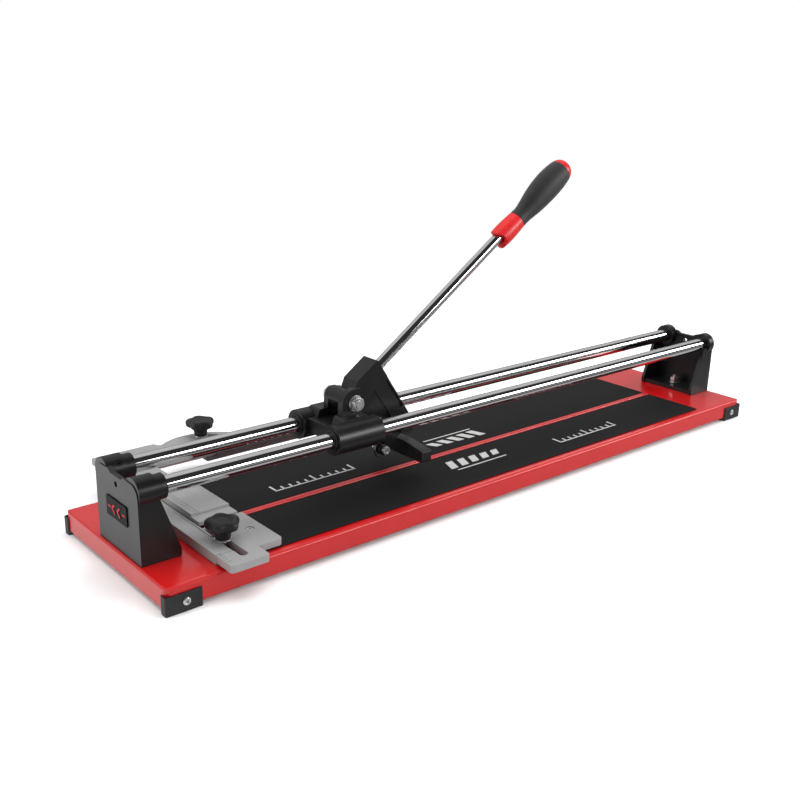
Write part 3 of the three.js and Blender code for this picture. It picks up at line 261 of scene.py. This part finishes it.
def moulded_red():
    """Red plastic with soft flow marks from the mould."""
    plastic = Finish("moulded red plastic")
    flow = plastic.grain(0.02, 3, stretch=(0.35, 1, 1))
    plastic.set("Base Color", plastic.blend(flow, (0.46, 0.0035, 0.0045), (0.58, 0.007, 0.008)))
    plastic.set("Roughness", 0.30 + plastic.grain(0.006, 2) * 0.10)
    plastic.raised(plastic.grain(0.0025, 2), 0.000018)
    return plastic.material


def blackened_steel():
    """Oiled black oxide on the set screws."""
    metal = Finish("blackened steel", {"Metallic": 0.6})
    cloud = metal.grain(0.002, 3)
    metal.set("Base Color", metal.blend(cloud, (0.010, 0.010, 0.011), (0.028, 0.028, 0.030)))
    metal.set("Roughness", 0.34 + cloud * 0.16)
    metal.raised(cloud, 0.00003)
    return metal.material


def badge_black():
    """Deep black printed plate behind the badge's marks."""
    plate = Finish("badge black", {"Specular IOR Level": 0.15})
    cloud = plate.grain(0.006, 3)
    plate.set("Base Color", plate.blend(cloud, (0.0010, 0.0010, 0.0010), (0.0024, 0.0024, 0.0025)))
    plate.set("Roughness", 0.50 + cloud * 0.12)
    plate.raised(plate.grain(0.002, 2), 0.00001)
    return plate.material


def ground_carbide():
    metal = Finish("ground carbide", {"Metallic": 1.0})
    cloud = metal.grain(0.003, 3)
    lines = metal.grain(0.0005, 2, stretch=(1, 0.2, 1))
    metal.set("Base Color", metal.blend(cloud, (0.28, 0.29, 0.31), (0.40, 0.41, 0.43)))
    metal.set("Roughness", 0.18 + lines * 0.14)
    metal.raised(lines, 0.00001)
    return metal.material


def printed_ink(name, colour):
    """Screen-printed ink, slightly worn through where it is thinnest."""
    ink = Finish(name)
    cloud = ink.grain(0.004, 4)
    thin = ink.grain(0.0012, 3)
    worn = tuple(0.62 * c for c in colour)
    ink.set("Base Color", ink.blend(cloud, worn, colour))
    ink.set("Roughness", 0.5 + thin * 0.2)
    ink.raised(thin, 0.00003)
    return ink.material


RED_ENAMEL = red_enamel()
STOVE_BLACK = stove_black()
GREY_ENAMEL = grey_enamel()
MAT_RUBBER = mat_rubber()
HARD_CHROME = hard_chrome()
ZINC_PLATE = zinc_plate()
THREADED_STEEL = threaded_steel()
BLACKENED_STEEL = blackened_steel()
BADGE_BLACK = badge_black()
BLASTED_ALUMINIUM = blasted_aluminium()
MOULDED_BLACK = moulded_black()
GRIP_RUBBER = grip_rubber()
MOULDED_RED = moulded_red()
GROUND_CARBIDE = ground_carbide()
WHITE_INK = printed_ink("white printed ink", (0.62, 0.62, 0.61))
RED_INK = printed_ink("red printed ink", (0.55, 0.012, 0.014))
DARK_INK = printed_ink("dark filled engraving", (0.05, 0.05, 0.05))

SLOT_FINISH = {
    "red_paint": RED_ENAMEL,
    "black_casting": STOVE_BLACK,
    "grey_paint": GREY_ENAMEL,
    "black_mat": MAT_RUBBER,
    "chrome": HARD_CHROME,
    "bright_steel": ZINC_PLATE,
    "cast_aluminium": BLASTED_ALUMINIUM,
    "black_plastic": MOULDED_BLACK,
    "black_rubber": GRIP_RUBBER,
    "red_plastic": MOULDED_RED,
    "carbide": GROUND_CARBIDE,
}


# ---------------------------------------------------------------- carried-over pieces
EDGE_BY_SLOT = {
    "red_paint": 0.0004,
    "black_casting": 0.0011,
    "grey_paint": 0.0004,
    "black_mat": 0.0004,
    "chrome": 0.0004,
    "bright_steel": 0.0003,
    "cast_aluminium": 0.0007,
    "black_plastic": 0.0006,
    "black_rubber": 0.0006,
    "red_plastic": 0.0005,
    "carbide": 0.0001,
}
EDGE_BY_NODE = {
    "stop_rail": 0.0012,
    "stop_slide": 0.0010,
    "stop_jaw": 0.0012,
    "breaker_bar": 0.0014,
    "end_badge": 0.0002,
    "breaking_rib": 0.0010,
}


def rounded_edges(piece, width):
    """Joins the triangles into whole faces, rounds the sharp edges and keeps the flats flat."""
    mesh = piece.data
    if "custom_normal" in mesh.attributes:
        mesh.attributes.remove(mesh.attributes["custom_normal"])
    mesh.shade_smooth()
    weld = piece.modifiers.new("joined", "WELD")
    weld.merge_threshold = 0.000002
    faces = piece.modifiers.new("whole faces", "DECIMATE")
    faces.decimate_type = "DISSOLVE"
    faces.angle_limit = math.radians(0.7)
    rounding = piece.modifiers.new("rounded edges", "BEVEL")
    rounding.width = width
    rounding.segments = 2
    rounding.limit_method = "ANGLE"
    rounding.angle_limit = math.radians(33)
    rounding.miter_outer = "MITER_ARC"
    flats = piece.modifiers.new("flat faces", "WEIGHTED_NORMAL")
    flats.weight = 80


def finish_cad_pieces():
    for name, piece in nodes.items():
        slot = piece.material_slots[0].material.name.split(".")[0]
        rounded_edges(piece, EDGE_BY_NODE.get(name, EDGE_BY_SLOT[slot]))
        piece.material_slots[0].material = SLOT_FINISH[slot]
    for name in ("front_stud", "rear_stud"):
        nodes[name].material_slots[0].material = THREADED_STEEL
    for name in nodes:
        if name.endswith("_set_screw"):
            nodes[name].material_slots[0].material = BLACKENED_STEEL
    nodes["end_badge"].material_slots[0].material = BADGE_BLACK


# ---------------------------------------------------------------- new pieces
def shown(name, mesh, finish, body, stands_for=()):
    """Hangs a finished mesh on its body and hides the CAD nodes it stands for."""
    piece = bpy.data.objects.new(name, mesh)
    bpy.context.scene.collection.objects.link(piece)
    mesh.materials.append(finish)
    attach(piece, body)
    if stands_for:
        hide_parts(*stands_for)
    return piece


def mesh_from(name, shape, sharp_over=34):
    """Turns a bmesh into a mesh, smooth except over edges sharper than the given degrees."""
    bmesh.ops.remove_doubles(shape, verts=shape.verts, dist=0.000001)
    bmesh.ops.recalc_face_normals(shape, faces=shape.faces)
    mesh = bpy.data.meshes.new(name)
    shape.to_mesh(mesh)
    shape.free()
    mesh.shade_smooth()
    mesh.set_sharp_from_angle(angle=math.radians(sharp_over))
    return mesh


def skinned(rings):
    """A closed skin over rings of points, each end closed on its ring's middle."""
    shape = bmesh.new()
    loops = [[shape.verts.new(point) for point in ring] for ring in rings]
    for lower, upper in zip(loops, loops[1:]):
        count = len(lower)
        for i in range(count):
            j = (i + 1) % count
            shape.faces.new((lower[i], lower[j], upper[j], upper[i]))
    for loop in (loops[0], loops[-1]):
        middle = shape.verts.new(sum((v.co for v in loop), Vector()) / len(loop))
        for i in range(len(loop)):
            shape.faces.new((loop[i], loop[(i + 1) % len(loop)], middle))
    return shape


def smoothed(table, position):
    """Reads a table of (position, values...) with a smooth curve between its rows."""
    rows = [table[0], *table, table[-1]]
    index = 1
    while index < len(rows) - 3 and position > rows[index + 1][0]:
        index += 1
    before, first, second, after = rows[index - 1 : index + 3]
    span = second[0] - first[0]
    t = min(max((position - first[0]) / span, 0), 1)
    values = []
    for a, b, c, d in zip(before[1:], first[1:], second[1:], after[1:]):
        linear = (c - a) * t
        square = (2 * a - 5 * b + 4 * c - d) * t * t
        cubic = (3 * b - a - 3 * c + d) * t**3
        values.append(0.5 * (2 * b + linear + square + cubic))
    return values


PIVOT = (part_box("pivot_bolt")[0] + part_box("pivot_bolt")[1]) / 2
CUT_LINE = (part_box("lever_rod")[0].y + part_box("lever_rod")[1].y) / 2
LEVER_PITCH = math.radians(35.1)
UP_LEVER = Vector((math.cos(LEVER_PITCH), 0, math.sin(LEVER_PITCH)))
ACROSS_LEVER = Vector((-math.sin(LEVER_PITCH), 0, math.cos(LEVER_PITCH)))
ROD_ACROSS = -0.004


def lever_point(along, across, side):
    """A point from its distance up the lever, above the lever rod's line and to the rear."""
    start = Vector((PIVOT.x, CUT_LINE, PIVOT.z))
    return start + UP_LEVER * along + ACROSS_LEVER * (ROD_ACROSS + across) + Vector((0, side, 0))


def lever_ring(along, centre, high, wide, notch=0.0, count=48):
    """One oval ring round the lever; notch carries its sides further up than its top and bottom."""
    ring = []
    for i in range(count):
        turn = 2 * math.pi * i / count
        lift = notch * abs(math.sin(turn)) ** 2.4
        across = centre + high * math.cos(turn)
        ring.append(lever_point(along + lift, across, wide * math.sin(turn)))
    return ring


# Along the lever, middle above the rod's line, half height, half width: all in metres.
FERRULE_SHAPE = (
    (0.3062, -0.0022, 0.0136, 0.0134),
    (0.3150, -0.0024, 0.0142, 0.0139),
    (0.3300, -0.0026, 0.0141, 0.0137),
    (0.3480, -0.0028, 0.0131, 0.0128),
)
GRIP_SHAPE = (
    (0.3480, -0.0028, 0.0128, 0.0126),
    (0.3600, -0.0030, 0.0127, 0.0123),
    (0.3720, -0.0026, 0.0145, 0.0136),
    (0.3860, -0.0016, 0.0171, 0.0156),
    (0.4020, -0.0006, 0.0190, 0.0171),
    (0.4200, 0.0000, 0.0198, 0.0178),
    (0.4340, 0.0001, 0.0193, 0.0175),
    (0.4440, 0.0002, 0.0181, 0.0168),
    (0.4490, 0.0002, 0.0172, 0.0162),
)


def shape_rings(table, start, end, steps, notch=0.0):
    rings = []
    for i in range(steps + 1):
        along = start + (end - start) * i / steps
        centre, high, wide = smoothed(table, along)
        fade = notch * (1 - i / steps) ** 2
        rings.append(lever_ring(along, centre, high, wide, fade))
    return rings


def make_ferrule():
    """Red collar of the grip, scalloped on both sides where the rod goes in."""
    bore = 0.0073
    skin = shape_rings(FERRULE_SHAPE, 0.3062, 0.3476, 12, notch=0.0062)
    centre, high, wide = smoothed(FERRULE_SHAPE, 0.3062)
    lip = lever_ring(0.3056, centre, high - 0.0012, wide - 0.0012, notch=0.0062)
    mouth = lever_ring(0.3060, centre * 0.6, bore + 0.0022, bore + 0.0022, notch=0.0060)
    hollow = lever_ring(0.3140, 0.0, bore, bore)
    top = lever_ring(0.3480, -0.0028, 0.0124, 0.0121)
    shape = skinned([hollow, mouth, lip, *skin, top])
    mesh = mesh_from("grip_ferrule_moulding", shape, 50)
    shown("grip_ferrule_moulding", mesh, MOULDED_RED, "lever", ["grip_ferrule"])


def make_grip():
    """Waisted rubber grip with a bead at each end."""
    start = lever_ring(0.3481, -0.0028, 0.0118, 0.0116)
    skin = shape_rings(GRIP_SHAPE, 0.3485, 0.4490, 44)
    bead = lever_ring(0.4496, 0.0002, 0.0166, 0.0156)
    end = lever_ring(0.4497, 0.0002, 0.0150, 0.0142)
    mesh = mesh_from("rubber_grip_moulding", skinned([start, *skin, bead, end]), 60)
    shown("rubber_grip_moulding", mesh, GRIP_RUBBER, "lever", ["rubber_grip"])


def make_cap():
    """Domed red cap that closes the grip."""
    rings = [lever_ring(0.4494, 0.0002, 0.0150, 0.0142)]
    length = 0.0134
    for i in range(15):
        turn = math.pi / 2 * i / 15
        size = math.cos(turn) ** 0.8
        along = 0.4499 + length * math.sin(turn) ** 1.15
        rings.append(lever_ring(along, 0.0002, 0.0166 * size, 0.0156 * size))
    mesh = mesh_from("grip_cap_moulding", skinned(rings), 60)
    shown("grip_cap_moulding", mesh, MOULDED_RED, "lever", ["grip_cap"])


KNOB_SHAPE = (
    (0.0052, 0.0044, 0.0),
    (0.0, 0.0044, 0.0),
    (0.0, 0.0080, 0.0),
    (0.0006, 0.0086, 0.0),
    (0.0040, 0.0089, 0.0),
    (0.0075, 0.0100, 0.1),
    (0.0098, 0.0118, 0.3),
    (0.0106, 0.0138, 0.6),
    (0.0112, 0.0165, 0.9),
    (0.0124, 0.0186, 1.0),
    (0.0140, 0.0195, 1.0),
    (0.0175, 0.0199, 1.0),
    (0.0198, 0.0192, 1.0),
    (0.0212, 0.0176, 0.9),
    (0.0219, 0.0150, 0.7),
    (0.0220, 0.0120, 0.3),
    (0.0217, 0.0104, 0.0),
    (0.0213, 0.0098, 0.0),
    (0.0213, 0.0030, 0.0),
)


def make_knob(node, body):
    """Five-lobed clamp knob on its neck, with a dished top."""
    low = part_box(node)[0]
    stud_low, stud_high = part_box(node.replace("knob", "stud"))
    middle = (stud_low + stud_high) / 2
    rings = []
    for height, radius, lobes in KNOB_SHAPE:
        ring = []
        for i in range(80):
            turn = 2 * math.pi * i / 80
            dip = (0.5 - 0.5 * math.cos(5 * turn)) ** 1.3
            reach = radius * (1 - 0.19 * lobes * dip)
            x = middle.x + reach * math.cos(turn)
            y = middle.y + reach * math.sin(turn)
            ring.append(Vector((x, y, low.z + height)))
        rings.append(ring)
    mesh = mesh_from(node + "_moulding", skinned(rings), 52)
    shown(node + "_moulding", mesh, MOULDED_BLACK, body, [node])


def hexagon(turn, flat, limit):
    """Radius of a hexagon of that half width across its flats, turned down to a cone's limit."""
    sector = (turn + math.pi / 6) % (math.pi / 3) - math.pi / 6
    return min(flat / math.cos(sector), limit)


def make_lock_nut():
    """Locking nut on the lever's pivot: chamfered hexagon, rolled collar and nylon ring."""
    low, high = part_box("pivot_nut")
    across = (high.z - low.z) / 2 * math.cos(math.pi / 6)
    middle = (low + high) / 2
    profile = (
        (high.y, 0.0, 0.0052),
        (high.y, 1.0, across * 1.02),
        (high.y - 0.0012, 1.0, 0.0099),
        (low.y + 0.0032, 1.0, 0.0099),
        (low.y + 0.0022, 1.0, across * 1.03),
        (low.y + 0.0021, 0.0, across * 0.93),
        (low.y + 0.0006, 0.0, across * 0.92),
        (low.y, 0.0, across * 0.84),
        (low.y, 0.0, across * 0.70),
        (low.y + 0.0010, 0.0, across * 0.66),
        (low.y + 0.0011, 0.0, 0.0052),
    )
    rings = []
    for y, is_hexagon, limit in profile:
        ring = []
        for i in range(72):
            turn = 2 * math.pi * i / 72
            reach = hexagon(turn, across, limit) if is_hexagon else limit
            x = middle.x + reach * math.cos(turn)
            z = middle.z + reach * math.sin(turn)
            ring.append(Vector((x, y, z)))
        rings.append(ring)
    mesh = mesh_from("pivot_lock_nut", skinned(rings), 28)
    shown("pivot_lock_nut", mesh, ZINC_PLATE, "carriage", ["pivot_nut"])


def make_rivets():
    """Hollow rivets through the feet: a rolled bright rim round a dark hole."""
    for end in ("left", "right"):
        for side, out in (("front", -1), ("rear", 1)):
            node = side + "_" + end + "_foot_rivet"
            low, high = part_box(node)
            middle = (low + high) / 2
            face = low.y if out < 0 else high.y
            rim = (high.z - low.z) / 2
            profile = (
                (0.0026, rim * 0.98),
                (0.0012, rim),
                (0.0004, rim * 0.90),
                (0.0, rim * 0.72),
                (0.0001, rim * 0.56),
                (0.0007, rim * 0.44),
                (0.0024, rim * 0.38),
                (0.0024, rim * 0.10),
            )
            rings = []
            for inward, radius in profile:
                ring = []
                for i in range(36):
                    turn = 2 * math.pi * i / 36
                    x = middle.x + radius * math.cos(turn)
                    z = middle.z + radius * math.sin(turn)
                    ring.append(Vector((x, face - out * inward, z)))
                rings.append(ring)
            mesh = mesh_from(node + "_rolled", skinned(rings), 60)
            shown(node + "_rolled", mesh, ZINC_PLATE, "frame", [node])


# ---------------------------------------------------------------- printed marks
def slab(shape, corners, low, high):
    """A thin closed plate on an outline."""
    bottom = [shape.verts.new((x, y, low)) for x, y in corners]
    top = [shape.verts.new((x, y, high)) for x, y in corners]
    shape.faces.new(bottom[::-1])
    shape.faces.new(top)
    for i in range(len(corners)):
        j = (i + 1) % len(corners)
        shape.faces.new((bottom[i], bottom[j], top[j], top[i]))


def leaning_bar(x, y, width, height, lean):
    half = height / 2
    return [
        (x - lean, y - half),
        (x - lean + width, y - half),
        (x + lean + width, y + half),
        (x + lean, y + half),
    ]


def print_on(mat, name, bars):
    """Screen-prints a set of outlines on a mat."""
    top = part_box(mat)[1].z
    shape = bmesh.new()
    for corners in bars:
        slab(shape, corners, top + 0.00002, top + 0.00014)
    shown(name, mesh_from(name, shape), WHITE_INK, "frame")


def make_mat_prints():
    """Plain marks: a badge of leaning bars over a rule, and a strip of measuring ticks."""
    for mat, side, x, y in (("front_mat", 1, -0.020, -0.096), ("rear_mat", -1, 0.012, -0.026)):
        bars = []
        for i in range(5):
            left = x + side * (i - 2) * 0.020 - 0.006
            bars.append(leaning_bar(left, y, 0.012, 0.022 - 0.002 * i, side * 0.004))
        rule = y - side * 0.0175
        bars.append(leaning_bar(x - 0.045, rule, 0.090, 0.0022, 0))
        print_on(mat, mat + "_bar_print", bars)
    for mat, x, y in (("front_mat", 0.184, -0.118), ("rear_mat", -0.231, -0.020)):
        bars = [leaning_bar(x - 0.062, y - 0.008, 0.124, 0.0022, 0)]
        for i in range(11):
            tall = 0.016 if i % 5 == 0 else 0.009
            bars.append(leaning_bar(x - 0.0618 + i * 0.0121, y - 0.008 + tall / 2, 0.0026, tall, 0))
        print_on(mat, mat + "_tick_print", bars)


def make_badge_print():
    """Red ink on the badge's two raised chevrons, and a short rule on either side."""
    low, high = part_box("end_badge")
    face = low.x
    middle = (low + high) / 2
    shape = bmesh.new()
    outlines = []
    for shift in (-0.006, 0.006):
        chevron = (
            (-0.0045, -0.0055),
            (-0.0012, -0.0055),
            (0.0043, 0),
            (-0.0012, 0.0055),
            (-0.0045, 0.0055),
            (0.0010, 0),
        )
        outlines.append(([(middle.y + shift + y, middle.z + z) for y, z in chevron], face))
    chevron_height = 0.0005
    plate = face + chevron_height
    for left, right in ((-0.020, -0.0135), (0.0135, 0.020)):
        rule = ((left, -0.001), (right, -0.001), (right, 0.001), (left, 0.001))
        outlines.append(([(middle.y + y, middle.z + z) for y, z in rule], plate))
    for points, ground in outlines:
        front = [shape.verts.new((ground - 0.00012, y, z)) for y, z in points]
        back = [shape.verts.new((ground - 0.00002, y, z)) for y, z in points]
        shape.faces.new(front)
        shape.faces.new(back[::-1])
        for k in range(len(points)):
            j = (k + 1) % len(points)
            shape.faces.new((front[k], front[j], back[j], back[k]))
    mesh = mesh_from("badge_chevrons", shape)
    shown("badge_chevrons", mesh, RED_INK, "frame")


def make_scale_ticks():
    """Engraved and filled millimetre marks beside the slide's slot and on the scale block."""
    low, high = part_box("stop_slide")
    shape = bmesh.new()
    for i in range(17):
        y = low.y + 0.012 + i * 0.005
        long = 0.0052 if i % 2 == 0 else 0.0034
        slab(shape, leaning_bar(low.x + 0.0016, y, long, 0.0005, 0), high.z + 0.00002, high.z + 0.00009)
    mesh = mesh_from("slide_scale", shape)
    shown("slide_scale", mesh, DARK_INK, "front_stop")
    low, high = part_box("scale_block")
    shape = bmesh.new()
    for i in range(15):
        y = low.y + 0.012 + i * 0.006
        long = 0.0060 if i % 5 == 0 else 0.0038
        slab(shape, leaning_bar(low.x + 0.0030, y, long, 0.0006, 0), high.z + 0.00002, high.z + 0.00009)
    mesh = mesh_from("block_scale", shape)
    shown("block_scale", mesh, DARK_INK, "frame")


finish_cad_pieces()
make_ferrule()
make_grip()
make_cap()
make_knob("front_knob", "front_clamp")
make_knob("rear_knob", "rear_clamp")
make_lock_nut()
make_rivets()
make_mat_prints()
make_badge_print()
make_scale_ticks()


# ---------------------------------------------------------------- studio
def pale_floor():
    """A wide pale floor, white to the eye far out; gloss rays see painted reflections on it instead:
    glowing strips to the left and in front, and dark elsewhere, as softboxes and black flags would give.
    """
    shape = bmesh.new()
    bmesh.ops.create_circle(shape, cap_ends=True, segments=96, radius=9.0)
    mesh = bpy.data.meshes.new("studio_floor")
    shape.to_mesh(mesh)
    shape.free()
    floor = bpy.data.objects.new("studio_floor", mesh)
    bpy.context.scene.collection.objects.link(floor)
    paint = Finish("studio floor paint", {"Base Color": (0.86, 0.86, 0.86, 1), "Roughness": 0.9})
    in_gloss = paint.node("ShaderNodeLightPath", output="Is Glossy Ray")
    here_x = paint.along("X")
    here_y = paint.along("Y")
    left = 1 - here_x.over(-0.75, -0.46)
    close_left = here_x.over(-1.00, -0.60) * left
    close_front = here_y.over(-0.34, -0.24)
    far_front = 1 - here_y.over(-0.62, -0.44)
    # Painted reflections: an emission seen only by gloss rays, with bright strips to the left and in
    # front and dark elsewhere.
    glow = 0.04 + left * 0.45 + close_left * 1.6 + (1 - left) * (close_front * 0.45 + far_front * 0.30)
    painted_gloss_glow = paint.node("ShaderNodeEmission", {}, {"Color": (1, 1, 1, 1), "Strength": glow})
    here = paint.place()
    round_about = paint.node("ShaderNodeVectorMath", {"operation": "LENGTH"}, {0: here}, output="Value")
    lit = paint.node("ShaderNodeEmission", {}, {"Color": (1, 1, 1, 1), "Strength": 1.0})
    surface = Reading(paint, paint.surface.outputs[0])
    far_out = round_about.over(0.75, 1.5)
    bare = paint.node("ShaderNodeMixShader", {}, {0: far_out, 1: surface, 2: lit})
    mixed = paint.node("ShaderNodeMixShader", {}, {0: in_gloss, 1: bare, 2: painted_gloss_glow})
    paint.tree.links.new(mixed.socket, paint.tree.nodes["Material Output"].inputs["Surface"])
    mesh.materials.append(paint.material)


def soft_box(name, place, aim, width, height, power, in_gloss=True):
    light = bpy.data.lights.new(name, "AREA")
    light.shape = "RECTANGLE"
    light.size = width
    light.size_y = height
    light.energy = power
    lamp = bpy.data.objects.new(name, light)
    bpy.context.scene.collection.objects.link(lamp)
    lamp.location = place
    lamp.rotation_euler = (Vector(aim) - Vector(place)).to_track_quat("-Z", "Y").to_euler()
    lamp.visible_camera = False
    lamp.visible_glossy = in_gloss


class Surroundings(Finish):
    """The world's nodes, made the same way as a material's."""

    def __init__(self):
        world = bpy.data.worlds.new("studio")
        world.use_nodes = True
        bpy.context.scene.world = world
        self.tree = world.node_tree
        self.tree.nodes.clear()


def white_surroundings():
    """Plain white behind the tool, a grey room in its gloss."""
    room = Surroundings()
    in_view = room.node("ShaderNodeLightPath", output="Is Camera Ray")
    in_gloss = room.node("ShaderNodeLightPath", output="Is Glossy Ray")
    ray = room.node("ShaderNodeTexCoord", output="Generated")
    height = room.node("ShaderNodeSeparateXYZ", {}, {0: ray}, output="Z")
    depth = room.node("ShaderNodeSeparateXYZ", {}, {0: ray}, output="Y")
    behind = depth.over(-0.06, 0.10)
    grey = 0.03 + behind * (0.16 + height.over(0.05, 0.50) * 0.42)
    strength = in_view * 1.0 + (1 - in_view) * (in_gloss * grey + (1 - in_gloss) * 0.75)
    light = room.node("ShaderNodeBackground", {}, {"Color": (1, 1, 1, 1), "Strength": strength})
    end = room.tree.nodes.new("ShaderNodeOutputWorld")
    room.tree.links.new(light.socket, end.inputs["Surface"])


def studio_camera():
    """Looks down the bed from in front of its left end, with a slight roll."""
    place = Vector((-0.92095, -0.98820, 0.52867))
    aim = Vector((0.0648, 0.15745, 0.0295))
    roll = 0.0244
    ahead = (aim - place).normalized()
    right = ahead.cross(Vector((0, 0, 1))).normalized()
    up = right.cross(ahead)
    right, up = (
        right * math.cos(roll) + up * math.sin(roll),
        up * math.cos(roll) - right * math.sin(roll),
    )
    data = bpy.data.cameras.new("studio_camera")
    data.lens = 45.26
    data.sensor_width = 36
    data.clip_start = 0.02
    data.clip_end = 60
    camera = bpy.data.objects.new("studio_camera", data)
    bpy.context.scene.collection.objects.link(camera)
    turn = Matrix((right, up, -ahead)).transposed().to_4x4()
    camera.matrix_world = Matrix.Translation(place) @ turn
    bpy.context.scene.camera = camera


bpy.context.scene.view_settings.view_transform = "Standard"
pale_floor()
white_surroundings()
soft_box("overhead_box", (0.15, 0.25, 2.0), (0.1, 0, 0), 2.6, 1.5, 42, in_gloss=False)
soft_box("front_right_box", (2.0, -2.2, 1.15), (0.1, 0, 0.1), 2.6, 0.9, 62)
soft_box("left_box", (-2.6, 0.7, 0.9), (-0.3, 0, 0.05), 1.6, 1.2, 22)
studio_camera()
